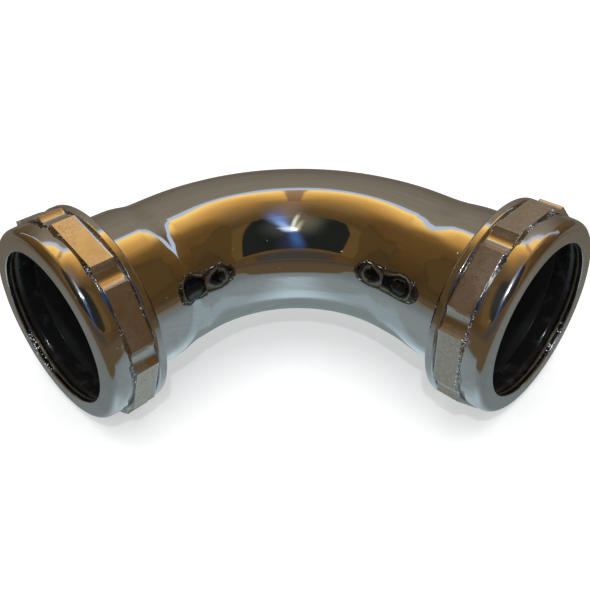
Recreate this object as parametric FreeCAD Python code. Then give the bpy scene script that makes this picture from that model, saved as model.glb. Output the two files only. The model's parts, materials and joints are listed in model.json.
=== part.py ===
import FreeCAD, Part
import math
import os

# Chrome-plated 90 degree slip-joint elbow of a sink's P-trap, for 38.1 mm (1-1/2 in) tubular drain.
# Millimetres, +Z up. The elbow lies flat, as it lies on a bench: the outlet leaves along +X and the
# inlet leaves along -Y. The origin is the centre of its footprint, on the bench.
# Each port is drawn once, in its own frame: that frame's Z is the port's axis pointing out of the mouth,
# its X is straight up, and its zero is where the two port axes cross. A "depth" is measured along the
# axis from the front face of the slip nut back into the port, and "radius" from that axis.

# ---- Driving dimensions ----
TUBE_RADIUS = 19.05
TUBE_WALL = 0.8
BEND_RADIUS = 43.5
CENTRE_TO_FACE = 79.7

# The socket: the tube's end, swelled to take another 38.1 mm tube
SOCKET_BORE_RADIUS = 19.2
SOCKET_MOUTH = 7.3
SOCKET_LIP_ROUND = 0.15
# The shoulder between socket and tube, from where to where: the inlet's is the shorter and steeper one
SHOULDER_DEPTHS = {"inlet": (23.5, 31.5), "outlet": (20.2, 32.2)}

# The thread: 11-1/2 threads per inch, right-handed
PITCH = 25.4 / 11.5
MALE_ROOT_RADIUS = 22.25
MALE_CREST_RADIUS = 23.45
FEMALE_ROOT_RADIUS = 23.7
FEMALE_CREST_RADIUS = 22.55
THREAD_BASE_WIDTH = 1.5
THREAD_CREST_WIDTH = 0.45
THREAD_ROOTED = 0.1
THREAD_FADE = 1.1

# The ferrule: a threaded collar soldered onto the socket
FERRULE_DEPTHS = (5.0, 13.2)
FERRULE_SEAT_RADIUS = 21.4
FERRULE_SEAT_END = (7.1, 20.68)
FILLET_LENGTH = 1.1
FILLET_HEIGHT = 1.3
FILLET_HOLLOW = 0.35

# The slip nut
NUT_LENGTH = 14.1
NUT_OPENING_RADIUS = 19.35
NUT_LIP_THICKNESS = 1.5
NUT_LIP_ROUND = 0.3
NUT_FACE_RADIUS = 22.2
NUT_DOME_END = (1.85, 24.26)
NUT_DOME_BULGE = 0.53
NUT_BARREL_RADIUS = 24.35
NUT_BARREL_BULGE = 0.07
NUT_CAVITY_RADIUS = 22.9
NUT_CAVITY_CHAMFER = 0.4
NUT_THREAD_START = 4.6
NUT_MOUTH_CHAMFER = 0.35
NUT_FRONT_GROOVE = (5.3, 5.6, 24.0)
NUT_REAR_GROOVE = (11.4, 11.7, 24.6)
PAD_COUNT = 8
PAD_APOTHEM = 25.0
PAD_HALF_ANGLE = 16.2
PAD_VALLEY_RADIUS = 24.75
PAD_EDGE_ROUND = 0.12
PAD_ROOTED = 0.4
FLANGE_RADIUS = 25.4
FLANGE_ROUND = 0.6

# Inside the nut: a thin brass friction ring, then the rubber slip washer with its bevelled nose
RING_DEPTHS = (1.53, 2.03)
RING_RADII = (19.5, 22.3)
RING_EDGE_ROUND = 0.12
WASHER_DEPTHS = (2.06, 4.4, 7.2)
WASHER_BORE_RADIUS = 19.15
WASHER_RIM_RADIUS = 22.4
WASHER_NOSE_RADII = (21.3, 20.35)
WASHER_LEAD_IN = 1.8
WASHER_RIM_ROUND = 0.35

# How far each nut is turned at rest: the direction of one pad's middle, in degrees from straight up
PAD_DIRECTIONS = {"inlet": -19.0, "outlet": 2.0}

# ---- Sizes that follow from them ----
TUBE_BORE_RADIUS = TUBE_RADIUS - TUBE_WALL
SOCKET_RADIUS = SOCKET_BORE_RADIUS + TUBE_WALL
PAD_CORNER_RADIUS = PAD_APOTHEM / math.cos(math.radians(PAD_HALF_ANGLE))
PAD_PITCH_ANGLE = 360.0 / PAD_COUNT

# Two edges are taken to be at the same place when they are closer than this
SAME_PLACE = 1e-4


def nut_reach(port):
    """How far a resting nut stands out from its axis, the same straight down as straight sideways."""
    half_pitch = PAD_PITCH_ANGLE / 2
    corners = [PAD_DIRECTIONS[port] + side * PAD_HALF_ANGLE for side in (-1, 1)]
    gaps = [abs((corner + half_pitch) % PAD_PITCH_ANGLE - half_pitch) for corner in corners]
    return max(FLANGE_RADIUS, PAD_CORNER_RADIUS * math.cos(math.radians(min(gaps))))


# Where the two port axes cross, seen from the centre of the footprint
AXIS_CROSSING = FreeCAD.Vector(
    (nut_reach("inlet") - CENTRE_TO_FACE) / 2,
    (CENTRE_TO_FACE - nut_reach("outlet")) / 2,
    max(nut_reach("inlet"), nut_reach("outlet")),
)


# ---- Drawing helpers ----
def point(depth, radius):
    """A point of a half-section, from its depth behind the nut's face and its radius."""
    return FreeCAD.Vector(radius, 0, CENTRE_TO_FACE - depth)


def polar(radius, degrees):
    """A point of a cross-section, from its radius and its direction in degrees from straight up."""
    angle = math.radians(degrees)
    return FreeCAD.Vector(radius * math.cos(angle), radius * math.sin(angle), 0)


def line(start, end):
    return Part.LineSegment(start, end).toShape()


def arc(start, middle, end):
    return Part.Arc(start, middle, end).toShape()


def bowed(start, end, bulge):
    """An arc whose middle stands bulge outside the straight line from start to end."""
    chord = end - start
    outside = FreeCAD.Vector(-chord.z, 0, chord.x).normalize()
    return arc(start, (start + end) / 2 + outside * bulge, end)


def closed(points):
    """The edges of a closed polygon."""
    return [line(a, b) for a, b in zip(points, points[1:] + points[:1])]


def turned(edges):
    """The solid swept by turning a closed half-section about the port's axis."""
    face = Part.Face(Part.Wire(Part.sortEdges(edges)[0]))
    return face.revolve(FreeCAD.Vector(), FreeCAD.Vector(0, 0, 1), 360)


def turned_polygon(*corners):
    """A turned solid from its section's corners, each given as depth and radius."""
    return turned(closed([point(*corner) for corner in corners]))


def rounded_where(solid, radius, wanted):
    """The solid with every edge rounded for which wanted(edge) is true."""
    return solid.makeFillet(radius, [edge for edge in solid.Edges if wanted(edge)])


def circle_at(depth, radius):
    """A test for the round edge at one depth and radius."""
    def matches(edge):
        curve = edge.Curve
        if not isinstance(curve, Part.Circle):
            return False
        same_depth = abs(curve.Center.z - (CENTRE_TO_FACE - depth)) < SAME_PLACE
        return same_depth and abs(curve.Radius - radius) < SAME_PLACE
    return matches


def thread_ridge(root_radius, crest_radius, start_depth, end_depth, phase):
    """One thread's ridge, from its root to its crest, rooted a little in the metal behind it.

    It fades out towards both ends along a cone. phase is how far along the axis it is shifted, as a
    share of the pitch, so that a male and a female ridge half a pitch apart stand in each other's grooves.
    """
    outward = math.copysign(1, crest_radius - root_radius)
    rooted_radius = root_radius - outward * THREAD_ROOTED
    flank_slope = (THREAD_BASE_WIDTH - THREAD_CREST_WIDTH) / 2 / abs(crest_radius - root_radius)
    rooted_width = THREAD_BASE_WIDTH + 2 * flank_slope * THREAD_ROOTED
    middle = (math.floor((CENTRE_TO_FACE - end_depth) / PITCH) - 1 + phase) * PITCH
    spare_turns = 3
    length = end_depth - start_depth + spare_turns * PITCH
    corners = [
        (rooted_radius, -rooted_width / 2),
        (crest_radius, -THREAD_CREST_WIDTH / 2),
        (crest_radius, THREAD_CREST_WIDTH / 2),
        (rooted_radius, rooted_width / 2),
    ]
    section = Part.Wire(closed([FreeCAD.Vector(r, 0, middle + along) for r, along in corners]))
    path = Part.Wire(Part.makeHelix(PITCH, length, root_radius))
    path.translate(FreeCAD.Vector(0, 0, middle))
    ridge = path.makePipeShell([section], True, True)
    beyond_crest = crest_radius + outward * THREAD_ROOTED
    behind_root = rooted_radius - outward * THREAD_ROOTED
    kept = turned_polygon(
        (start_depth + THREAD_ROOTED, behind_root),
        (start_depth + THREAD_ROOTED + THREAD_FADE, beyond_crest),
        (end_depth - THREAD_ROOTED - THREAD_FADE, beyond_crest),
        (end_depth - THREAD_ROOTED, behind_root),
    )
    return ridge.common(kept)


# ---- The pieces of one port ----
def socket_end(shoulder_depths):
    """The straight end of the tube: plain tube, then the shoulder, then the swelled socket."""
    bend_end = CENTRE_TO_FACE - BEND_RADIUS
    top_depth, foot_depth = shoulder_depths
    length = foot_depth - top_depth

    def surface(tube_radius, socket_radius):
        """The lengthwise line of one side of the wall: two tangent arcs make the shoulder."""
        rise = socket_radius - tube_radius
        curve = (length ** 2 + rise ** 2) / (4 * rise)
        half_turn = math.asin(length / 2 / curve) / 2
        along = curve * math.sin(half_turn)
        lift = curve * (1 - math.cos(half_turn))
        foot = point(foot_depth, tube_radius)
        top = point(top_depth, socket_radius)
        waist = point((top_depth + foot_depth) / 2, (tube_radius + socket_radius) / 2)
        return [
            line(point(bend_end, tube_radius), foot),
            arc(foot, point(foot_depth - along, tube_radius + lift), waist),
            arc(waist, point(top_depth + along, socket_radius - lift), top),
            line(top, point(SOCKET_MOUTH, socket_radius)),
        ]

    outside = surface(TUBE_RADIUS, SOCKET_RADIUS)
    inside = surface(TUBE_BORE_RADIUS, SOCKET_BORE_RADIUS)
    ends = [
        line(point(bend_end, TUBE_BORE_RADIUS), point(bend_end, TUBE_RADIUS)),
        line(point(SOCKET_MOUTH, SOCKET_BORE_RADIUS), point(SOCKET_MOUTH, SOCKET_RADIUS)),
    ]
    tube = turned(outside + inside + ends)
    return rounded_where(tube, SOCKET_LIP_ROUND, circle_at(SOCKET_MOUTH, SOCKET_BORE_RADIUS))


def threaded_ferrule():
    """The collar: a bevelled seat for the washer in front, the male thread outside."""
    front, back = FERRULE_DEPTHS
    core = turned_polygon(
        (front, FERRULE_SEAT_RADIUS),
        (front, MALE_ROOT_RADIUS),
        (back, MALE_ROOT_RADIUS),
        (back, SOCKET_RADIUS),
        (SOCKET_MOUTH, SOCKET_RADIUS),
        (SOCKET_MOUTH, FERRULE_SEAT_END[1]),
        FERRULE_SEAT_END,
    )
    ridge = thread_ridge(MALE_ROOT_RADIUS, MALE_CREST_RADIUS, front, back, 0)
    return core.fuse(ridge).removeSplitter()


def solder_fillet():
    """The ring of solder in the corner behind the ferrule, with a hollow face."""
    corner = point(FERRULE_DEPTHS[1], SOCKET_RADIUS)
    high = point(FERRULE_DEPTHS[1], SOCKET_RADIUS + FILLET_HEIGHT)
    low = point(FERRULE_DEPTHS[1] + FILLET_LENGTH, SOCKET_RADIUS)
    hollow = point(
        FERRULE_DEPTHS[1] + FILLET_HOLLOW * FILLET_LENGTH,
        SOCKET_RADIUS + FILLET_HOLLOW * FILLET_HEIGHT,
    )
    return turned([line(corner, high), arc(high, hollow, low), line(low, corner)])


def nut_body():
    """The nut's turned shape: front lip, dome, slight barrel, two grooves and the rounded rear flange."""
    front_start, front_end, front_radius = NUT_FRONT_GROOVE
    rear_start, rear_end, rear_radius = NUT_REAR_GROOVE
    cavity_corner = NUT_LIP_THICKNESS + NUT_CAVITY_CHAMFER
    corners = [
        (front_start, NUT_BARREL_RADIUS),
        (front_start, front_radius),
        (front_end, front_radius),
        (front_end, PAD_VALLEY_RADIUS - PAD_ROOTED),
        (rear_start, PAD_VALLEY_RADIUS - PAD_ROOTED),
        (rear_start, rear_radius),
        (rear_end, rear_radius),
        (rear_end, FLANGE_RADIUS),
        (NUT_LENGTH, FLANGE_RADIUS),
        (NUT_LENGTH, FEMALE_ROOT_RADIUS + NUT_MOUTH_CHAMFER),
        (NUT_LENGTH - NUT_MOUTH_CHAMFER, FEMALE_ROOT_RADIUS),
        (NUT_THREAD_START, FEMALE_ROOT_RADIUS),
        (NUT_THREAD_START, NUT_CAVITY_RADIUS),
        (cavity_corner, NUT_CAVITY_RADIUS),
        (NUT_LIP_THICKNESS, NUT_CAVITY_RADIUS - NUT_CAVITY_CHAMFER),
        (NUT_LIP_THICKNESS, NUT_OPENING_RADIUS),
        (0, NUT_OPENING_RADIUS),
        (0, NUT_FACE_RADIUS),
    ]
    points = [point(*corner) for corner in corners]
    walls = [line(a, b) for a, b in zip(points, points[1:])]
    dome_end = point(*NUT_DOME_END)
    dome = bowed(points[-1], dome_end, NUT_DOME_BULGE)
    barrel = bowed(dome_end, points[0], NUT_BARREL_BULGE)
    body = turned(walls + [dome, barrel])
    body = rounded_where(body, NUT_LIP_ROUND, circle_at(0, NUT_OPENING_RADIUS))
    body = rounded_where(body, FLANGE_ROUND, circle_at(rear_end, FLANGE_RADIUS))
    return rounded_where(body, FLANGE_ROUND, circle_at(NUT_LENGTH, FLANGE_RADIUS))


def nut_pads(direction):
    """The band of wrench pads: flats all round, with a hollow flute between each two."""
    start = NUT_FRONT_GROOVE[1]
    end = NUT_REAR_GROOVE[0]
    edges = []
    for number in range(PAD_COUNT):
        middle = direction + number * PAD_PITCH_ANGLE
        near = polar(PAD_CORNER_RADIUS, middle - PAD_HALF_ANGLE)
        far = polar(PAD_CORNER_RADIUS, middle + PAD_HALF_ANGLE)
        valley = polar(PAD_VALLEY_RADIUS, middle + PAD_PITCH_ANGLE / 2)
        next_near = polar(PAD_CORNER_RADIUS, middle + PAD_PITCH_ANGLE - PAD_HALF_ANGLE)
        edges += [line(near, far), arc(far, valley, next_near)]
    outline = Part.Face(Part.Wire(edges))
    outline.translate(FreeCAD.Vector(0, 0, CENTRE_TO_FACE - end))
    band = outline.extrude(FreeCAD.Vector(0, 0, end - start))
    band = band.makeFillet(PAD_EDGE_ROUND, band.Edges)
    core = turned_polygon(
        (start, 0),
        (start, FEMALE_ROOT_RADIUS + THREAD_ROOTED),
        (end, FEMALE_ROOT_RADIUS + THREAD_ROOTED),
        (end, 0),
    )
    return band.cut(core)


def slip_nut(direction):
    """The nut: turned body, wrench pads and the thread that stands in the ferrule's grooves."""
    end = NUT_LENGTH - NUT_MOUTH_CHAMFER
    ridge = thread_ridge(FEMALE_ROOT_RADIUS, FEMALE_CREST_RADIUS, NUT_THREAD_START, end, 0.5)
    return nut_body().fuse(nut_pads(direction)).fuse(ridge).removeSplitter()


def friction_ring():
    """The thin brass ring that lets the nut turn without dragging the washer."""
    front, back = RING_DEPTHS
    inner, outer = RING_RADII
    ring = turned_polygon((front, inner), (front, outer), (back, outer), (back, inner))
    return ring.makeFillet(RING_EDGE_ROUND, ring.Edges)


def slip_washer():
    """The rubber washer: a flat rim under the friction ring and a bevelled nose for the ferrule's seat."""
    front, rim_back, nose_end = WASHER_DEPTHS
    nose_root, nose_tip = WASHER_NOSE_RADII
    washer = turned_polygon(
        (front, WASHER_BORE_RADIUS),
        (front, WASHER_RIM_RADIUS),
        (rim_back, WASHER_RIM_RADIUS),
        (rim_back, nose_root),
        (nose_end, nose_tip),
        (nose_end, WASHER_BORE_RADIUS),
    )
    washer = rounded_where(washer, WASHER_LEAD_IN, circle_at(front, WASHER_BORE_RADIUS))
    return rounded_where(washer, WASHER_RIM_ROUND, circle_at(rim_back, WASHER_RIM_RADIUS))


# ---- The whole elbow ----
def port_placement(port):
    """Where a port's own frame sits on the elbow."""
    up = FreeCAD.Vector(0, 0, 1)
    outward = {"inlet": FreeCAD.Vector(0, -1, 0), "outlet": FreeCAD.Vector(1, 0, 0)}[port]
    rotation = FreeCAD.Rotation(up, outward.cross(up), outward, "ZXY")
    return FreeCAD.Placement(AXIS_CROSSING, rotation)


def placed(shape, port):
    moved = shape.copy()
    moved.Placement = port_placement(port)
    return moved


def bend_arc():
    """The quarter turn of plain tube between the two straight ends."""
    start = AXIS_CROSSING + FreeCAD.Vector(BEND_RADIUS, 0, 0)
    turning_centre = start - FreeCAD.Vector(0, BEND_RADIUS, 0)
    outward = FreeCAD.Vector(1, 0, 0)
    outer = Part.Wire(Part.makeCircle(TUBE_RADIUS, start, outward))
    inner = Part.Wire(Part.makeCircle(TUBE_BORE_RADIUS, start, outward))
    section = Part.Face([outer, inner])
    return section.revolve(turning_centre, FreeCAD.Vector(0, 0, 1), 90)


def bend_tube():
    """The chromed tube in one piece: the bend with a swelled socket at each end."""
    tube = bend_arc()
    for port, depths in SHOULDER_DEPTHS.items():
        tube = tube.fuse(placed(socket_end(depths), port))
    return tube.removeSplitter()


def main():
    os.makedirs("parts", exist_ok=True)
    pieces = {"bend_tube": bend_tube()}
    shared = {
        "threaded_ferrule": threaded_ferrule(),
        "solder_fillet": solder_fillet(),
        "friction_ring": friction_ring(),
        "slip_washer": slip_washer(),
    }
    for port, direction in PAD_DIRECTIONS.items():
        pieces["slip_nut_" + port] = placed(slip_nut(direction), port)
        for name, shape in shared.items():
            pieces[name + "_" + port] = placed(shape, port)
    for name, shape in pieces.items():
        solids = shape.Solids
        print(name, "solids", len(solids), "valid", shape.isValid(), "volume", round(shape.Volume, 1))
        (solids[0] if len(solids) == 1 else shape).exportStep("parts/" + name + ".step")


main()
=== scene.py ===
import json
import math

import bpy
from mathutils import Matrix, Vector


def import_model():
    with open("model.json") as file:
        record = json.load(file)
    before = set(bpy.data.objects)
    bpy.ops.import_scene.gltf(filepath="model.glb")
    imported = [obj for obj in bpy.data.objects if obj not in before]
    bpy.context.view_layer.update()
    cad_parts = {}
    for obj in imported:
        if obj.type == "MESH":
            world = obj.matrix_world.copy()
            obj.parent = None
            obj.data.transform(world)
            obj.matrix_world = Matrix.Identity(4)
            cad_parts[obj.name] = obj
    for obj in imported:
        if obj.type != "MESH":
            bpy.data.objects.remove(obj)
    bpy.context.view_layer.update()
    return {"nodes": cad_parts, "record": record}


# A chromed slip-joint elbow lying on a pale sheet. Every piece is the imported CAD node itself; this script
# gives each its finish, and builds the sheet, the soft light, the camera and what the chrome mirrors.
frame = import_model()
MM = 0.001

# ---- Places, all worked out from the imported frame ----
UP = Vector((0, 0, 1))


def mount(name):
    """A mount's point and axis."""
    found = [m for m in frame["record"]["mounts"] if m["name"] == name][0]
    return Vector(found["pos_m"]), Vector(found["axis"])


OUTLET_POINT, OUTLET_AXIS = mount("outlet_socket")
INLET_POINT, INLET_AXIS = mount("inlet_socket")
AXIS_CROSSING = Vector((INLET_POINT.x, OUTLET_POINT.y, OUTLET_POINT.z))
# The tube's bend: how far from the crossing each straight end starts
BEND_RADIUS = 43.5 * MM
BEND_CENTRE = AXIS_CROSSING + (OUTLET_AXIS + INLET_AXIS) * BEND_RADIUS
# The elbow's line of symmetry: TOWARDS points out between the two ports, where the viewer stands
TOWARDS = (OUTLET_AXIS + INLET_AXIS).normalized()
AWAY = -TOWARDS
RIGHT = AWAY.cross(UP)

# ---- The camera ----
CAMERA_ELEVATION = math.radians(35.95)
CAMERA_ROLL = math.radians(0.891)
CAMERA_DISTANCE = 177 * MM
CAMERA_AIM = AXIS_CROSSING + TOWARDS * 37.3 * MM - UP * 5.05 * MM
SENSOR_WIDTH = 36
FOCAL_LENGTH = 42.0406779661

# ---- The light ----
# How much of the light a chrome surface gives back, and how much dimmer things are in a mirror's mirror
CHROME_TINT = 0.78
SECOND_MIRROR = 0.7
# The white light all round, for the eye and for matt surfaces
SOFT_LIGHT = 0.98
OVERHEAD_SIDE = 0.6
OVERHEAD_WATTS = 2.5
OVERHEAD_HEIGHT = 700 * MM
OVERHEAD_FORWARD = 100 * MM
FLASH_RADIUS = 4 * MM
FLASH_WATTS = 0.55
FLASH_ABOVE_LENS = 70 * MM
# How brightly the sheet glows by itself, and the share of its look that is glow
SHEET_GLOW = 1.05
SHEET_GLOW_SHARE = 0.4

# ---- The nuts' features that their finish follows ----
# Along a port's axis, from where the two axes cross: the grooves behind and in front of the pads
GROOVES = (68.3 * MM, 74.2 * MM)
# the two ends of the pads' finish, and the back of the lip
PADS_START = 68.6 * MM
PADS_END = 74.1 * MM
LIP_START = 78.2 * MM
# Out from a port's axis: the pads' flats, the chipped rim round the mouth, and just past the thread's root
PAD_RADIUS = 25.0 * MM
RIM_RADIUS = 20.2 * MM
ROOT_RADIUS = 23.8 * MM
# How far the polished surface of the pads on top leans, as a slope
PAD_LEAN = 0.075


# ---- Node helpers ----
class Nodes:
    """A small builder for a node tree: each call adds one node and wires its inputs."""

    def __init__(self, tree):
        self.tree = tree
        tree.nodes.clear()

    def add(self, kind, settings=None, **inputs):
        """A node. An input is named with _ for each space, or i and its number."""
        node = self.tree.nodes.new(kind)
        for name, value in (settings or {}).items():
            setattr(node, name, value)
        for name, value in inputs.items():
            self.wire(node, name, value)
        return node

    def wire(self, node, name, value):
        """Connects a value, or sets it, on the input with this name or number."""
        numbered = name[0] == "i" and name[1:].isdigit()
        socket = node.inputs[int(name[1:]) if numbered else name.replace("_", " ")]
        if isinstance(value, bpy.types.NodeSocket):
            self.tree.links.new(value, socket)
        elif isinstance(value, bpy.types.Node):
            self.tree.links.new(value.outputs[0], socket)
        else:
            socket.default_value = value

    def math(self, operation, *values):
        node = self.add("ShaderNodeMath", {"operation": operation})
        for number, value in enumerate(values):
            self.wire(node, "i%d" % number, value)
        return node.outputs[0]

    def length(self, first, second):
        """The length of a flat vector with these two sides."""
        squares = self.math("MULTIPLY", first, first), self.math("MULTIPLY", second, second)
        return self.math("SQRT", self.math("ADD", *squares))

    def vector(self, operation, first, second):
        return self.add("ShaderNodeVectorMath", {"operation": operation}, i0=first, i1=second).outputs[0]

    def dot(self, first, second):
        node = self.add("ShaderNodeVectorMath", {"operation": "DOT_PRODUCT"}, i0=first, i1=second)
        return node.outputs["Value"]

    def fade(self, value, none, full):
        """0 where value is at none, 1 where it is at full, and a soft step between them."""
        node = self.add("ShaderNodeMapRange", {"interpolation_type": "SMOOTHSTEP"}, Value=value)
        self.wire(node, "From_Min", none)
        self.wire(node, "From_Max", full)
        return node.outputs[0]

    def both(self, *shares):
        """The product of shares: 1 only where all of them are."""
        result = shares[0]
        for share in shares[1:]:
            result = self.math("MULTIPLY", result, share)
        return result

    def blend(self, factor, first, second):
        node = self.add("ShaderNodeMix", {"data_type": "RGBA"})
        self.wire(node, "i0", factor)
        self.wire(node, "i6", first)
        self.wire(node, "i7", second)
        return node.outputs[2]

    def bands(self, value, stops):
        """A colour that follows value through (value, screen colour) stops."""
        low = stops[0][0]
        span = stops[-1][0] - low
        share = self.math("DIVIDE", self.math("SUBTRACT", value, low), span)
        node = self.add("ShaderNodeValToRGB", Fac=share)
        elements = node.color_ramp.elements
        while len(elements) < len(stops):
            elements.new(0.5)
        for element, (place, colour) in zip(elements, stops):
            element.position = (place - low) / span
            element.color = seen(*colour)
        return node.outputs[0]

    def curve(self, value, points):
        """A number that follows value through (value, number) points, in straight lines."""
        numbers = [number for _, number in points]
        low = min(numbers)
        span = max(numbers) - low
        first = points[0][0]
        width = points[-1][0] - first
        share = self.math("DIVIDE", self.math("SUBTRACT", value, first), width)
        node = self.add("ShaderNodeValToRGB", Fac=share)
        elements = node.color_ramp.elements
        while len(elements) < len(points):
            elements.new(0.5)
        for element, (place, number) in zip(elements, points):
            element.position = (place - first) / width
            element.color = ((number - low) / span,) * 3 + (1,)
        return self.math("MULTIPLY_ADD", node.outputs[0], span, low)

    def scale(self, vector, factor):
        return self.add("ShaderNodeVectorMath", {"operation": "SCALE"}, i0=vector, Scale=factor).outputs[0]

    def uneven(self, place, size, spread):
        """A factor around 1 that wanders by about spread, its blotches about size across."""
        return self.math("MULTIPLY_ADD", self.noise(place, size, 4.0), 2 * spread, 1 - spread)

    def noise(self, place, size, detail=3.0, stretch=None):
        """Smooth noise around 0.5, its blotches about size metres across."""
        if stretch:
            place = self.vector("MULTIPLY", place, stretch)
        return self.add("ShaderNodeTexNoise", Vector=place, Scale=1 / size, Detail=detail).outputs[0]

    def specks(self, place, spacing, radius, share):
        """Small round dots: one in each cell of the given spacing, kept in only a share of the cells."""
        cells = self.add("ShaderNodeTexVoronoi", Vector=place, Scale=1 / spacing)
        dot = self.fade(cells.outputs["Distance"], radius / spacing, radius / spacing * 0.6)
        chance = self.add("ShaderNodeSeparateColor", Color=cells.outputs["Color"]).outputs[0]
        return self.both(dot, self.math("LESS_THAN", chance, share))

    def bump(self, height, depth, normal=None):
        """A surface raised by height (0 to 1) times depth metres."""
        node = self.add("ShaderNodeBump", Height=height, Strength=1.0, Distance=depth)
        if normal is not None:
            self.wire(node, "Normal", normal)
        return node.outputs[0]

    def seen_across(self):
        """1 where the piece is seen in chrome on the far side of the elbow, 0 where it is seen itself."""
        path = self.add("ShaderNodeLightPath").outputs
        far = self.fade(path["Ray Length"], 15 * MM, 22 * MM)
        return self.both(self.math("GREATER_THAN", path["Glossy Depth"], 0.5), far)

    def mixed(self, factor, first, second):
        return self.add("ShaderNodeMixShader", i0=factor, i1=first, i2=second)

    def finish(self, surface):
        self.add("ShaderNodeOutputMaterial", Surface=surface)


def seen(red, green, blue):
    """A linear colour from the 0-255 values it should show as on a screen."""
    def linear(value):
        share = value / 255
        return share / 12.92 if share <= 0.04045 else ((share + 0.055) / 1.055) ** 2.4
    return tuple(linear(value) for value in (red, green, blue)) + (1.0,)


def material(name):
    """A new material and the builder for its nodes."""
    made = bpy.data.materials.new(name)
    made.use_nodes = True
    return made, Nodes(made.node_tree)


def mirror_strength(nodes):
    """How strongly the surroundings glow, so that one reflection in chrome shows them at their own colour."""
    depth = nodes.add("ShaderNodeLightPath").outputs["Glossy Depth"]
    again = nodes.math("GREATER_THAN", depth, 1.5)
    return nodes.math("MULTIPLY_ADD", again, (SECOND_MIRROR - 1) / CHROME_TINT, 1 / CHROME_TINT)


def sheet(name, low, high, level, matrix=Matrix.Identity(4)):
    """A flat four-sided staging object between two corners, in its own XY plane at the given level."""
    corners = [(low[0], low[1]), (high[0], low[1]), (high[0], high[1]), (low[0], high[1])]
    mesh = bpy.data.meshes.new(name)
    mesh.from_pydata([(x, y, level) for x, y in corners], [], [(0, 1, 2, 3)])
    obj = bpy.data.objects.new(name, mesh)
    obj.matrix_world = matrix
    bpy.context.scene.collection.objects.link(obj)
    return obj


# ---- What the chrome mirrors: a warm room in bands ----
# Round the middle: degrees from the far horizon (0), over the top (90), to the near horizon (180)
ROOM_MIDDLE = [
    (0, (98, 90, 76)), (10, (104, 96, 85)), (20, (110, 103, 93)), (40, (119, 111, 97)),
    (50, (124, 116, 101)), (56, (132, 128, 118)), (59, (240, 205, 130)), (62, (250, 208, 120)),
    (65, (236, 188, 104)), (70, (214, 163, 88)), (74, (196, 148, 78)), (78, (182, 137, 70)),
    (83, (155, 118, 62)), (88, (140, 106, 58)), (94, (120, 92, 54)), (102, (96, 73, 40)),
    (112, (84, 63, 34)), (130, (80, 60, 33)), (160, (84, 64, 39)), (180, (78, 62, 44)),
]
# The same, well to either side
ROOM_SIDES = [
    (0, (80, 66, 48)), (40, (84, 64, 36)), (65, (90, 66, 32)), (90, (86, 62, 31)),
    (120, (76, 57, 32)), (180, (84, 62, 34)),
]
# Where the pale lamp strip runs across the room: degrees to the right, and its height in the same degrees
LAMP_PATH = [
    (-50, 25), (-45, 33), (-40, 38), (-36, 41.5), (-31, 47), (-27, 50.5), (-22, 52.4), (-12, 53.5),
    (-6.5, 55.5), (-3, 59.5), (0, 62),
    (3, 61), (7, 56.5), (15, 54.7), (30, 56), (42, 60), (60, 60),
]
# The height it keeps over most of its length, which the bands round the middle are given for
LAMP_USUAL = 57
LAMP_COLOUR = (174, 185, 206)
BRACKET_COLOUR = (122, 94, 78)
# Degrees to either side: how far the sides' bands have taken over, and how bright the room still is
TO_SIDE = [(0, 0.0), (15, 0.05), (21, 0.2), (29, 0.82), (36, 0.95), (60, 1.0)]
SIDE_LIGHT = [(0, 1.0), (50, 1.0), (65, 0.8), (80, 0.65), (90, 0.6)]


def lamp_share(nodes, across, above_lamp):
    """1 on the pale lamp strip, fading at its edges and its two ends."""
    off_lamp = nodes.math("ABSOLUTE", above_lamp)
    return nodes.both(
        nodes.fade(off_lamp, 3.1, 1.7), nodes.fade(across, -54, -48), nodes.fade(across, 75, 60)
    )


def bracket_share(nodes, across, height):
    """1 on the dull bracket that hangs in the gold band, straight above; it widens upwards."""
    beside = nodes.math("ABSOLUTE", nodes.math("ADD", across, 0.2))
    half_width = nodes.curve(height, [(58, 0.9), (90, 1.9)])
    return nodes.both(
        nodes.fade(nodes.math("SUBTRACT", beside, half_width), 0.15, -0.15),
        nodes.fade(height, 88, 85),
        nodes.fade(height, 61, 63),
        0.85,
    )


def room_colour(nodes, direction):
    """The banded warm room, by direction: height in degrees over the far horizon, across to the right."""
    turned = nodes.math("ARCTAN2", nodes.dot(direction, UP), nodes.dot(direction, AWAY))
    height = nodes.math("DEGREES", turned)
    across = nodes.math("DEGREES", nodes.math("ARCSINE", nodes.dot(direction, RIGHT)))
    above_lamp = nodes.math("SUBTRACT", height, nodes.curve(across, LAMP_PATH))
    off_middle = nodes.math("ABSOLUTE", nodes.math("SUBTRACT", across, 1.0))
    middle = nodes.bands(nodes.math("ADD", above_lamp, LAMP_USUAL), ROOM_MIDDLE)
    room = nodes.blend(nodes.curve(off_middle, TO_SIDE), middle, nodes.bands(height, ROOM_SIDES))
    light = nodes.both(nodes.curve(off_middle, SIDE_LIGHT), nodes.uneven(direction, 0.12, 0.16))
    room = nodes.scale(room, light)
    room = nodes.blend(bracket_share(nodes, across, height), room, seen(*BRACKET_COLOUR))
    return nodes.blend(lamp_share(nodes, across, above_lamp), room, seen(*LAMP_COLOUR))


def world():
    """Soft white light for the eye and for matt surfaces, and the banded warm room for mirror surfaces."""
    made = bpy.data.worlds.new("studio")
    bpy.context.scene.world = made
    made.use_nodes = True
    nodes = Nodes(made.node_tree)
    direction = nodes.add("ShaderNodeTexCoord").outputs["Generated"]
    room = room_colour(nodes, direction)
    mirrored = nodes.add("ShaderNodeBackground", Color=room, Strength=mirror_strength(nodes))
    soft = nodes.add("ShaderNodeBackground", Color=(1, 1, 1, 1), Strength=SOFT_LIGHT)
    path = nodes.add("ShaderNodeLightPath")
    chosen = nodes.mixed(path.outputs["Is Glossy Ray"], soft, mirrored)
    nodes.add("ShaderNodeOutputWorld", Surface=chosen)


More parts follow.
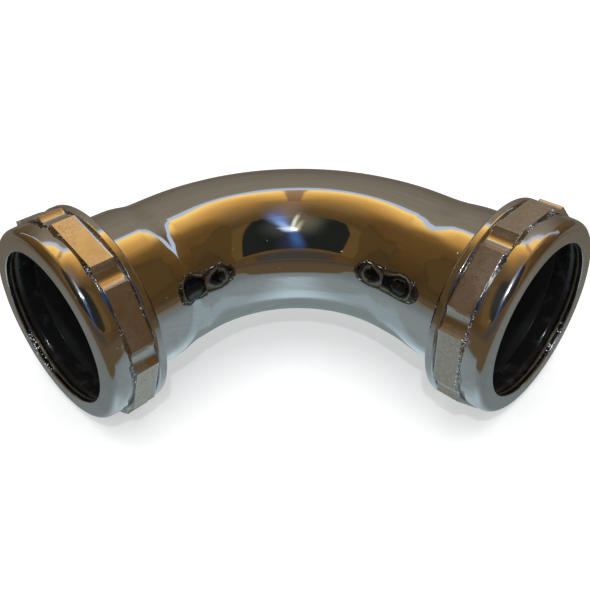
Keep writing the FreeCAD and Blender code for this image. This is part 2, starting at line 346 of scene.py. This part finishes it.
# ---- The sheet it lies on ----
# As mirrored: how the sheet darkens away from the lit spot in front of the elbow, in millimetres
SHEET_RINGS = [
    (0, (124, 132, 133)), (20, (120, 129, 130)), (38, (109, 117, 119)), (52, (102, 109, 109)),
    (80, (104, 104, 98)), (116, (98, 91, 80)), (160, (94, 84, 66)), (250, (90, 74, 50)), (400, (84, 68, 44)),
]
# Past the sheet's near edge the bench shows
BENCH_RINGS = [(80, (85, 70, 50)), (200, (84, 68, 48)), (400, (75, 60, 45)), (600, (64, 60, 55))]
# How far the sheet reaches to each side of the elbow, in metres
SHEET_REACH = 4.0
# In millimetres towards the viewer: the point the sheet is measured from (from the axes' crossing), the
# middle of its lit spot, and its near edge, in the middle and how much farther at the sides
SHEET_POINT = 18
LIT_SPOT = 42.0
NEAR_EDGE = 82.0
NEAR_EDGE_BEND = 25.0


def thrown_light(nodes, lit, right, near):
    """The light that the bend throws back onto the sheet: brightest where the chrome looks straight down."""
    incoming = nodes.add("ShaderNodeNewGeometry").outputs["Incoming"]
    sideways = nodes.math("ABSOLUTE", nodes.dot(incoming, RIGHT))
    straight = nodes.fade(sideways, 0.55, 0.0)
    close_by = nodes.fade(nodes.math("ABSOLUTE", right), 60, 40)
    thrown = nodes.both(straight, nodes.fade(near, 19, 23), nodes.fade(near, 68, 54))
    lit = nodes.blend(thrown, lit, seen(153, 166, 171))
    line = nodes.both(nodes.fade(near, 20, 24), nodes.fade(near, 33, 28))
    line_colour = nodes.blend(straight, seen(134, 148, 152), seen(174, 194, 201))
    lit = nodes.blend(nodes.both(line, close_by, 0.9), lit, line_colour)
    # Under the elbow the sheet is shaded, and behind it the sheet takes the bench's brown
    lit = nodes.blend(nodes.both(nodes.fade(near, 20, 8), close_by), lit, seen(112, 125, 125))
    return nodes.blend(nodes.fade(near, -15, -45), lit, seen(98, 90, 80))


def mirrored_sheet(nodes, place):
    """The sheet's colour as the chrome mirrors it, and the brown bench past its near edge."""
    from_middle = nodes.vector("SUBTRACT", place, AXIS_CROSSING + TOWARDS * SHEET_POINT * MM)
    right = nodes.math("DIVIDE", nodes.dot(from_middle, RIGHT), MM)
    near = nodes.math("DIVIDE", nodes.dot(from_middle, TOWARDS), MM)
    squeezed = nodes.math("MULTIPLY", right, 0.8)
    away = nodes.length(squeezed, nodes.math("SUBTRACT", near, LIT_SPOT))
    lit = thrown_light(nodes, nodes.bands(away, SHEET_RINGS), right, near)
    streaks = nodes.uneven(nodes.vector("MULTIPLY", place, (1.0, 3.0, 1.0)), 9 * MM, 0.2)
    lit = nodes.scale(lit, streaks)
    aside = nodes.fade(nodes.math("ABSOLUTE", right), 40, 100)
    edge = nodes.math("ADD", NEAR_EDGE, nodes.both(aside, NEAR_EDGE_BEND))
    past_edge = nodes.fade(nodes.math("SUBTRACT", near, edge), -4, 4)
    return nodes.blend(past_edge, lit, nodes.bands(near, BENCH_RINGS))


def pale_paper(nodes, place):
    """The sheet to the eye: near white, finely grained."""
    grain = nodes.noise(place, 6 * MM)
    pale = nodes.blend(grain, (0.92, 0.92, 0.92, 1), (0.95, 0.95, 0.95, 1))
    paper = nodes.add("ShaderNodeBsdfDiffuse", Color=pale, Normal=nodes.bump(grain, 0.05 * MM))
    # The sheet also glows by itself, though no lamp is below it; this painted light keeps the shadows faint
    sheet_self_glow = nodes.add("ShaderNodeEmission", Color=pale, Strength=SHEET_GLOW)
    return nodes.mixed(SHEET_GLOW_SHARE, paper, sheet_self_glow)


def floor():
    """A pale sheet: near white to the eye, and as the chrome mirrors it, lit in the middle of a bench."""
    obj = sheet("floor", (-SHEET_REACH, -SHEET_REACH), (SHEET_REACH, SHEET_REACH), 0.0)
    made, nodes = material("pale_sheet")
    place = nodes.add("ShaderNodeTexCoord").outputs["Object"]
    strength = mirror_strength(nodes)
    glow = nodes.add("ShaderNodeEmission", Color=mirrored_sheet(nodes, place), Strength=strength)
    path = nodes.add("ShaderNodeLightPath")
    nodes.finish(nodes.mixed(path.outputs["Is Glossy Ray"], pale_paper(nodes, place), glow))
    obj.data.materials.append(made)


# ---- The camera, the lights, and the viewer's own dark outline in the chrome ----
def camera():
    """The viewer: in front of the elbow, between its ports, looking down. Gives the camera's own frame."""
    look = (AWAY * math.cos(CAMERA_ELEVATION) - UP * math.sin(CAMERA_ELEVATION)).normalized()
    level_up = RIGHT.cross(look)
    right = RIGHT * math.cos(CAMERA_ROLL) - level_up * math.sin(CAMERA_ROLL)
    up = right.cross(look)
    data = bpy.data.cameras.new("camera")
    data.sensor_width = SENSOR_WIDTH
    data.lens = FOCAL_LENGTH
    data.clip_start = 0.01
    obj = bpy.data.objects.new("camera", data)
    turn = Matrix((right, up, -look)).transposed().to_4x4()
    obj.matrix_world = Matrix.Translation(CAMERA_AIM - look * CAMERA_DISTANCE) @ turn
    bpy.context.scene.collection.objects.link(obj)
    bpy.context.scene.camera = obj
    return obj.matrix_world.copy()


def lights(view):
    """A broad soft light overhead, and the small bright light above the viewer that makes the glints."""
    data = bpy.data.lights.new("overhead", "AREA")
    data.size = OVERHEAD_SIDE
    data.energy = OVERHEAD_WATTS
    obj = bpy.data.objects.new("overhead", data)
    obj.location = AXIS_CROSSING + UP * OVERHEAD_HEIGHT + TOWARDS * OVERHEAD_FORWARD
    obj.visible_glossy = False
    bpy.context.scene.collection.objects.link(obj)
    data = bpy.data.lights.new("flash", "POINT")
    data.shadow_soft_size = FLASH_RADIUS
    data.energy = FLASH_WATTS
    data.color = (0.93, 0.96, 1.0)
    obj = bpy.data.objects.new("flash", data)
    obj.location = view.translation + UP * FLASH_ABOVE_LENS
    bpy.context.scene.collection.objects.link(obj)


# The dark outline's left and right edges, in millimetres: height above the lens, and distance to its right
OUTLINE_LEFT = [(-60, -161), (-45, -157), (80, -133), (130, -104), (145, -92)]
OUTLINE_RIGHT = [(-60, 199), (-45, 190), (40, 137), (100, 99), (130, 76), (145, 70)]
OUTLINE_COLOUR = (29, 31, 28)
# Beyond these the room behind the viewer is darker
DARK_LEFT = [(-60, -250), (0, -238), (50, -200), (100, -167), (150, -158), (200, -162), (260, -150)]
DARK_RIGHT = [(-60, 262), (0, 245), (50, 190), (100, 150), (150, 128), (200, 130), (260, 150)]
# How far the outline's plane reaches from the lens, and how far it stands behind it, in metres
OUTLINE_REACH = 0.5
OUTLINE_BEHIND = 5 * MM


class Picture:
    """Tones laid one over another on a plane, in millimetres right of the lens and above it."""

    def __init__(self, nodes):
        self.nodes = nodes
        place = nodes.add("ShaderNodeTexCoord").outputs["Object"]
        self.right = nodes.math("DIVIDE", nodes.dot(place, (1, 0, 0)), MM)
        self.high = nodes.math("DIVIDE", nodes.dot(place, (0, 1, 0)), MM)

    def start(self, share, tone):
        """The first tone, on a clear plane."""
        self.colour = seen(*tone)
        self.cover = share

    def lay(self, share, tone):
        """Lays one more tone over what is there."""
        self.colour = self.nodes.blend(share, self.colour, seen(*tone))
        self.cover = self.nodes.math("MAXIMUM", self.cover, share)

    def past(self, points, sign):
        """How far a place is to the right (sign 1) or left (sign -1) of an edge through points."""
        edge = self.nodes.curve(self.high, points)
        if sign > 0:
            return self.nodes.math("SUBTRACT", self.right, edge)
        return self.nodes.math("SUBTRACT", edge, self.right)

    def strip(self, start, end, start_width, end_width, strength, tone):
        """Lays a soft strip, full at its start and fading to its end."""
        nodes = self.nodes
        span_right, span_high = end[0] - start[0], end[1] - start[1]
        length = math.hypot(span_right, span_high)
        run_right, run_high = span_right / length, span_high / length
        from_right = nodes.math("SUBTRACT", self.right, start[0])
        from_high = nodes.math("SUBTRACT", self.high, start[1])
        along = nodes.math(
            "ADD", nodes.math("MULTIPLY", from_right, run_right), nodes.math("MULTIPLY", from_high, run_high)
        )
        across = nodes.math(
            "SUBTRACT",
            nodes.math("MULTIPLY", from_right, run_high), nodes.math("MULTIPLY", from_high, run_right),
        )
        width = nodes.curve(along, [(0, start_width), (length, end_width)])
        off_line = nodes.math("DIVIDE", nodes.math("ABSOLUTE", across), width)
        self.lay(nodes.both(
            nodes.fade(off_line, 1.0, 0.0),
            nodes.fade(along, -start_width, start_width),
            nodes.fade(along, length, length * 0.3),
            strength,
        ), tone)

    def spot(self, middle, radius, strength, tone):
        """Lays a soft round spot."""
        nodes = self.nodes
        from_right = nodes.math("SUBTRACT", self.right, middle[0])
        from_high = nodes.math("SUBTRACT", self.high, middle[1])
        inside = nodes.fade(nodes.length(from_right, from_high), radius, 0.0)
        self.lay(nodes.both(inside, strength), tone)


def dark_surround(picture):
    """The outline's dark middle, the darker room to its sides, and the stand below it."""
    nodes, high = picture.nodes, picture.high
    body = nodes.both(
        nodes.fade(picture.past(OUTLINE_LEFT, 1), -3, 5), nodes.fade(picture.past(OUTLINE_RIGHT, -1), -3, 5),
        nodes.fade(high, -54, -46), nodes.fade(high, 146, 132),
    )
    picture.start(body, OUTLINE_COLOUR)
    beyond = nodes.math(
        "MAXIMUM",
        nodes.fade(picture.past(DARK_LEFT, -1), -7, 7), nodes.fade(picture.past(DARK_RIGHT, 1), -7, 7),
    )
    outside = nodes.math("SUBTRACT", 1.0, body)
    off_middle = nodes.math("ABSOLUTE", picture.right)
    around = nodes.both(
        nodes.fade(high, -72, -58), nodes.fade(high, 250, 190), nodes.fade(off_middle, 400, 300)
    )
    picture.lay(nodes.both(beyond, around, outside, 0.85), (82, 61, 31))
    # Between the outline and the darker room a warmer strip frames it
    frame_strip = nodes.math("SUBTRACT", 1.0, beyond)
    picture.lay(nodes.both(frame_strip, outside, around, nodes.fade(high, 175, 120), 0.75), (106, 81, 42))
    stand = nodes.both(
        nodes.fade(high, -64, -76), nodes.fade(high, -122, -106), nodes.fade(off_middle, 165, 105), 0.8
    )
    picture.lay(stand, (58, 60, 62))


def flash_star(picture):
    """The flash's star: wide dim glows first, then narrower and brighter rays, then its middle."""
    picture.strip((6, 96), (6, 420), 44, 66, 0.72, (138, 120, 110))
    picture.spot((4, 66), 80, 0.6, (84, 88, 86))
    picture.strip((-20, 58), (-34, 190), 40, 52, 0.55, (112, 104, 80))
    picture.strip((10, 20), (12, -100), 34, 80, 0.6, (50, 50, 78))
    picture.strip((3, 50), (-18, -84), 14, 40, 0.8, (64, 98, 152))
    picture.strip((12, 46), (44, 250), 14, 40, 0.8, (112, 142, 204))
    picture.strip((10, 48), (30, 120), 12, 14, 0.8, (158, 186, 230))
    picture.strip((6, 52), (36, 66), 9, 7, 0.9, (206, 214, 220))
    picture.strip((-4, 40), (-18, 118), 10, 8, 0.8, (184, 184, 148))
    picture.strip((3, 52), (-13, 172), 6.5, 5, 1.0, (228, 228, 206))
    picture.spot((8, 53), 22, 0.9, (214, 230, 246))
    # A second, small glint at the outline's edge
    picture.spot((-152, -31), 8, 1.0, (196, 192, 130))


def viewer_outline(view):
    """The camera as the chrome mirrors it: a soft dark shape with the flash's star, only in reflections."""
    corner = OUTLINE_REACH
    obj = sheet("viewer_outline", (-corner, -corner), (corner, corner), OUTLINE_BEHIND, view)
    obj.visible_camera = False
    obj.visible_diffuse = False
    obj.visible_shadow = False
    obj.visible_transmission = False
    made, nodes = material("viewer_outline")
    picture = Picture(nodes)
    dark_surround(picture)
    flash_star(picture)
    glow = nodes.add("ShaderNodeEmission", Color=picture.colour, Strength=mirror_strength(nodes))
    nodes.finish(nodes.mixed(picture.cover, nodes.add("ShaderNodeBsdfTransparent"), glow))
    obj.data.materials.append(made)


# ---- Finishes ----
def own_place(nodes):
    """A point of the piece in its own frame, so that a finish travels with it at every pose."""
    return nodes.add("ShaderNodeTexCoord").outputs["Object"]


def round_axis(nodes, axis):
    """For a piece turned about a port's axis: how far out along the axis, the radius and the turn."""
    place = nodes.vector("SUBTRACT", own_place(nodes), AXIS_CROSSING)
    along = nodes.dot(place, axis)
    high = nodes.dot(place, UP)
    side = nodes.dot(place, axis.cross(UP))
    return along, nodes.length(high, side), nodes.math("ARCTAN2", side, high)


def plating(nodes, place, wear):
    """Worn chrome plate: how rough it is, and how much dust lies on it.

    wear is 0 for bright drawn tube and 1 for a handled casting.
    """
    smudges = nodes.fade(nodes.noise(place, 14 * MM, 4.0), 0.52, 0.68)
    hairlines = nodes.noise(place, 0.35 * MM, 2.0, (1.0, 1.0, 0.06))
    rough = nodes.math("MULTIPLY_ADD", smudges, 0.03 + 0.03 * wear, 0.03 + 0.05 * wear)
    rough = nodes.math("MULTIPLY_ADD", nodes.math("SUBTRACT", hairlines, 0.5), 0.03, rough)
    dust = nodes.math(
        "MAXIMUM",
        nodes.specks(place, 5.0 * MM, 0.21 * MM, 0.16),
        nodes.both(nodes.specks(place, 1.7 * MM, 0.12 * MM, 0.10), 0.7),
    )
    return rough, dust


def tube_inside(nodes):
    """1 on the tube's inner wall, 0 on its outside: where the surface faces the bend's centre line."""
    place = own_place(nodes)
    from_centre = nodes.vector("SUBTRACT", place, BEND_CENTRE)
    # Beyond the bend the centre line runs straight, so the sideways part is held at the bend's ends
    outlet_side = nodes.math("MINIMUM", nodes.dot(from_centre, OUTLET_AXIS), 0.0)
    inlet_side = nodes.math("MINIMUM", nodes.dot(from_centre, INLET_AXIS), 0.0)
    reach = nodes.length(outlet_side, inlet_side)
    off_line = nodes.math("DIVIDE", nodes.math("SUBTRACT", reach, BEND_RADIUS), reach)
    normal = nodes.add("ShaderNodeTexCoord").outputs["Normal"]
    level = nodes.math("ADD", nodes.both(nodes.dot(normal, OUTLET_AXIS), outlet_side),
                       nodes.both(nodes.dot(normal, INLET_AXIS), inlet_side))
    upright = nodes.both(nodes.dot(normal, UP), nodes.dot(from_centre, UP))
    outward = nodes.math("ADD", nodes.both(level, off_line), upright)
    # Only its sign matters, so the step at zero is as good as sharp
    return nodes.fade(outward, 0.0, -1e-6)


def tube_chrome():
    """Bright plated tube outside; inside, dull metal painted near black, partly as painted shade for the deep
    bore.
    """
    made, nodes = material("bright_plated_tube")
    place = own_place(nodes)
    rough, dust = plating(nodes, place, 0.0)
    wobble = nodes.noise(place, 16 * MM, 1.0)
    fine = nodes.noise(place, 0.5 * MM, 2.0, (1.0, 1.0, 0.15))
    relief = nodes.bump(fine, 0.0004 * MM, nodes.bump(wobble, 0.006 * MM))
    cloud = nodes.noise(place, 25 * MM)
    tone = nodes.blend(cloud, (0.77, 0.775, 0.78, 1), (0.79, 0.785, 0.78, 1))
    # Painted shade: seen across in the bend, the tube gets a dark base colour that stands in for each arm's
    # unlit side
    tone = nodes.blend(nodes.seen_across(), tone, (0.16, 0.175, 0.19, 1))
    plate = nodes.add(
        "ShaderNodeBsdfPrincipled", Base_Color=tone, Metallic=1.0, Roughness=rough, Normal=relief,
    )
    motes = nodes.add("ShaderNodeBsdfDiffuse", Color=(0.42, 0.42, 0.40, 1))
    outside = nodes.mixed(nodes.both(dust, 0.8), plate, motes)
    # Inside, dull metal whose near-black tone is partly painted shade for the deep bore
    film = nodes.noise(place, 5 * MM, 4.0)
    dull = nodes.blend(film, (0.006, 0.0065, 0.006, 1), (0.018, 0.019, 0.018, 1))
    inside = nodes.add(
        "ShaderNodeBsdfPrincipled", Base_Color=dull, Metallic=0.1, Roughness=0.3,
        Normal=nodes.bump(film, 0.05 * MM),
    )
    nodes.finish(nodes.mixed(tube_inside(nodes), outside, inside))
    return made


def nut_zones(nodes, along, radius, rounded):
    """Shares of the nut: its wrench pads, the lip's rim, and every chipped edge (the rim and grooves too)."""
    pads = nodes.both(
        nodes.fade(radius, PAD_RADIUS - 0.1 * MM, PAD_RADIUS),
        nodes.fade(along, PADS_START, PADS_START + 0.2 * MM),
        nodes.fade(along, PADS_END, PADS_END - 0.2 * MM),
    )
    lip = nodes.both(
        nodes.fade(radius, RIM_RADIUS, RIM_RADIUS - 0.2 * MM),
        nodes.fade(along, LIP_START, LIP_START + 0.4 * MM),
    )
    true_normal = nodes.add("ShaderNodeNewGeometry").outputs["True Normal"]
    edge = nodes.fade(nodes.dot(rounded, true_normal), 0.995, 0.9)
    for middle in GROOVES:
        beside = nodes.math("ABSOLUTE", nodes.math("SUBTRACT", along, middle))
        edge = nodes.math("MAXIMUM", edge, nodes.fade(beside, 0.24 * MM, 0.16 * MM))
    return pads, lip, nodes.math("MAXIMUM", edge, lip)


def crackle_lines(nodes, place):
    """Fine crooked lines, like those of crazed plate."""
    bent = nodes.vector("ADD", place, nodes.both(nodes.noise(place, 1.2 * MM), 1.5 * MM))
    cells = nodes.add(
        "ShaderNodeTexVoronoi", {"feature": "DISTANCE_TO_EDGE"}, Vector=bent, Scale=1 / (1.4 * MM)
    )
    return nodes.both(nodes.fade(cells.outputs["Distance"], 0.07, 0.0), nodes.noise(place, 2 * MM))


def nut_relief(nodes, place, axis, pads, lines, edge, rounded):
    """The nut's surface: a slight wave, grained pads with their lines, pits, and chipped edges."""
    # The wrench pads on top are polished a little lower towards the open end
    on_top = nodes.fade(nodes.dot(rounded, UP), 0.75, 0.92)
    lean = nodes.both(pads, on_top, PAD_LEAN)
    leaning = nodes.vector("ADD", rounded, nodes.scale(axis, lean))
    grain = nodes.both(nodes.noise(place, 0.4 * MM, 3.0), nodes.math("MULTIPLY_ADD", pads, 0.8, 0.2))
    pits = nodes.specks(place, 1.1 * MM, 0.13 * MM, 0.2)
    chips = nodes.both(nodes.noise(place, 0.2 * MM, 2.0), edge)
    relief = nodes.bump(nodes.noise(place, 12 * MM, 1.0), 0.006 * MM, leaning)
    relief = nodes.bump(grain, 0.003 * MM, relief)
    relief = nodes.bump(nodes.math("SUBTRACT", 1.0, lines), 0.003 * MM, relief)
    relief = nodes.bump(nodes.math("SUBTRACT", 1.0, pits), 0.02 * MM, relief)
    return nodes.bump(chips, 0.0015 * MM, relief)


def nut_tone(nodes, place, pads, lines, across):
    """The plate's tint: browner on the pads and in their lines, and painted shade (a dark tone) where seen
    across.
    """
    tone = nodes.blend(nodes.noise(place, 8 * MM), (0.76, 0.765, 0.77, 1), (0.80, 0.79, 0.78, 1))
    tone = nodes.blend(nodes.both(pads, 0.7), tone, (0.74, 0.63, 0.50, 1))
    tone = nodes.blend(nodes.both(lines, 0.75), tone, (0.30, 0.24, 0.18, 1))
    # Painted shade: seen across in the bend, a nut gets a dark tone that stands in for its unlit side
    return nodes.blend(across, tone, (0.26, 0.25, 0.24, 1))


def painted_sparkles(nodes, place, side_turn, lip, edge, across):
    """Painted sparkles: near-white matt dots that stand in for the light caught where the plate is chipped.

    They lie in stretches of the edges, and on the lip's lower part away from the other port. A nut seen
    across in the bend has larger glints. side_turn is the turn round the port, positive on that far side.
    """
    stretches = nodes.fade(nodes.noise(place, 5 * MM, 1.0), 0.44, 0.54)
    sparkles_on_edges = nodes.both(
        edge, stretches, nodes.math("SUBTRACT", 1.0, lip), nodes.specks(place, 0.36 * MM, 0.13 * MM, 0.45)
    )
    lip_below = nodes.both(lip, nodes.fade(side_turn, 1.95, 2.3), nodes.fade(side_turn, 2.85, 2.5))
    sparkles_on_lip = nodes.both(nodes.specks(place, 0.5 * MM, 0.2 * MM, 0.5), lip_below)
    # Painted glints on a nut seen across in the bend
    glints = nodes.both(nodes.specks(place, 3.2 * MM, 0.85 * MM, 0.3), across)
    return nodes.math("MAXIMUM", nodes.math("MAXIMUM", sparkles_on_edges, sparkles_on_lip), glints)


def greased_inside(nodes, place):
    """Inside the nut the plate is thin and dark with thread grease."""
    grease = nodes.noise(place, 3 * MM, 4.0)
    return nodes.add(
        "ShaderNodeBsdfPrincipled", Metallic=0.8, Roughness=nodes.math("MULTIPLY_ADD", grease, 0.3, 0.25),
        Base_Color=nodes.blend(grease, (0.10, 0.10, 0.10, 1), (0.28, 0.27, 0.25, 1)),
    )


def nut_chrome(axis):
    """Plated casting: slightly grained wrench pads, pits, crackle, chipped edges with painted sparkles, and
    painted shade where seen across.
    """
    made, nodes = material("plated_casting")
    place = own_place(nodes)
    along, radius, turn = round_axis(nodes, axis)
    rounded = nodes.add("ShaderNodeBevel", {"samples": 8}, Radius=0.08 * MM).outputs[0]
    pads, lip, edge = nut_zones(nodes, along, radius, rounded)
    patches = nodes.fade(nodes.noise(place, 9 * MM), 0.32, 0.46)
    lines = nodes.both(crackle_lines(nodes, place), patches, pads)
    across = nodes.seen_across()
    rough, dust = plating(nodes, place, 1.0)
    rough = nodes.math("MULTIPLY_ADD", pads, nodes.math("MULTIPLY_ADD", patches, 0.10, 0.07), rough)
    plate = nodes.add(
        "ShaderNodeBsdfPrincipled", Metallic=1.0, Roughness=rough,
        Base_Color=nut_tone(nodes, place, pads, lines, across),
        Normal=nut_relief(nodes, place, axis, pads, lines, edge, rounded),
    )
    motes = nodes.add("ShaderNodeBsdfDiffuse", Color=(0.40, 0.40, 0.38, 1))
    outside = nodes.mixed(nodes.both(dust, 0.7), plate, motes)
    side_turn = nodes.both(turn, -math.copysign(1, axis.dot(RIGHT)))
    sparkle_share = painted_sparkles(nodes, place, side_turn, lip, edge, across)
    # Painted highlight: the sparkles are a near-white matt colour mixed in, not light caught by the plate
    bright = nodes.add("ShaderNodeBsdfDiffuse", Color=(0.92, 0.94, 0.98, 1))
    outside = nodes.mixed(nodes.both(sparkle_share, 0.9), outside, bright)
    bore = nodes.both(
        nodes.fade(radius, ROOT_RADIUS + 0.2 * MM, ROOT_RADIUS),
        nodes.fade(along, LIP_START + 0.4 * MM, LIP_START + 0.2 * MM),
    )
    nodes.finish(nodes.mixed(bore, outside, greased_inside(nodes, place)))
    return made


def turned_brass(name, axis, bright):
    """Turned brass: fine tool marks round the axis, tarnish in blotches. bright is 1 for new metal; below 1
    it darkens the whole piece, for tarnish and painted shade.
    """
    made, nodes = material(name)
    place = own_place(nodes)
    along, radius, turn = round_axis(nodes, axis)
    path = nodes.math("MULTIPLY_ADD", radius, 0.7, along)
    marks = nodes.math("SINE", nodes.math(
        "MULTIPLY_ADD", path, 2 * math.pi / (0.16 * MM), nodes.both(turn, 2.0)
    ))
    marks = nodes.math("MULTIPLY_ADD", marks, 0.5, 0.5)
    tarnish = nodes.noise(place, 3.5 * MM, 5.0)
    fresh = nodes.blend(marks, (0.62 * bright, 0.44 * bright, 0.20 * bright, 1),
                        (0.74 * bright, 0.55 * bright, 0.27 * bright, 1))
    old = (0.22 * bright, 0.15 * bright, 0.08 * bright, 1)
    tone = nodes.blend(nodes.fade(tarnish, 0.42, 0.66), fresh, old)
    surface = nodes.add(
        "ShaderNodeBsdfPrincipled", Base_Color=tone, Metallic=1.0,
        Roughness=nodes.math("MULTIPLY_ADD", tarnish, 0.35, 0.18),
        Normal=nodes.bump(marks, 0.003 * MM, nodes.bump(tarnish, 0.01 * MM)),
    )
    nodes.finish(surface)
    return made


def soft_solder():
    """Dull grey solder: ripples where it set, with darker flux along the edges of the blotches."""
    made, nodes = material("dull_solder")
    place = own_place(nodes)
    ripples = nodes.noise(place, 1.6 * MM, 4.0)
    flux = nodes.fade(nodes.noise(place, 3 * MM, 3.0), 0.55, 0.7)
    tone = nodes.blend(ripples, (0.36, 0.36, 0.35, 1), (0.58, 0.58, 0.57, 1))
    tone = nodes.blend(nodes.both(flux, 0.6), tone, (0.14, 0.10, 0.06, 1))
    surface = nodes.add(
        "ShaderNodeBsdfPrincipled", Base_Color=tone, Metallic=0.9,
        Roughness=nodes.math("MULTIPLY_ADD", flux, 0.25, 0.32), Normal=nodes.bump(ripples, 0.12 * MM),
    )
    nodes.finish(surface)
    return made


def black_rubber(axis):
    """Moulded black rubber: a faint sheen, rings left by the mould, a little bloom and dust."""
    made, nodes = material("moulded_rubber")
    place = own_place(nodes)
    _, radius, turn = round_axis(nodes, axis)
    rings = nodes.math("SINE", nodes.both(radius, 2 * math.pi / (0.5 * MM)))
    skin = nodes.noise(place, 0.3 * MM, 3.0)
    bloom = nodes.fade(nodes.noise(place, 4 * MM, 4.0), 0.5, 0.75)
    seam = nodes.fade(nodes.math("ABSOLUTE", nodes.math("SINE", turn)), 0.012, 0.004)
    dust = nodes.specks(place, 1.8 * MM, 0.14 * MM, 0.2)
    tone = nodes.blend(bloom, (0.006, 0.0062, 0.0065, 1), (0.018, 0.018, 0.018, 1))
    tone = nodes.blend(nodes.both(dust, 0.5), tone, (0.12, 0.12, 0.11, 1))
    relief = nodes.bump(nodes.math("MULTIPLY_ADD", rings, 0.5, 0.5), 0.004 * MM)
    relief = nodes.bump(seam, 0.05 * MM, nodes.bump(skin, 0.008 * MM, relief))
    surface = nodes.add(
        "ShaderNodeBsdfPrincipled", Base_Color=tone, Normal=relief,
        Roughness=nodes.math("MULTIPLY_ADD", bloom, 0.2, 0.17), Specular_IOR_Level=0.4,
    )
    nodes.finish(surface)
    return made


def dress():
    """Gives every CAD node its finish."""
    tube = tube_chrome()
    solder = soft_solder()
    frame["nodes"]["bend_tube"].material_slots[0].material = tube
    for port, axis in (("inlet", INLET_AXIS), ("outlet", OUTLET_AXIS)):
        finishes = {
            "slip_nut": nut_chrome(axis),
            "threaded_ferrule": turned_brass("turned_brass", axis, 1.0),
            # The friction ring is darkened to 0.35: dark tarnish, and painted shade for its place in the slit
            # behind the lip
            "friction_ring": turned_brass("tarnished_shade_painted_ring", axis, 0.35),
            "solder_fillet": solder,
            "slip_washer": black_rubber(axis),
        }
        for kind, finish in finishes.items():
            frame["nodes"][kind + "_" + port].material_slots[0].material = finish


world()
floor()
view = camera()
lights(view)
viewer_outline(view)
dress()

settings = bpy.context.scene.view_settings
settings.view_transform = "Standard"
settings.look = "None"
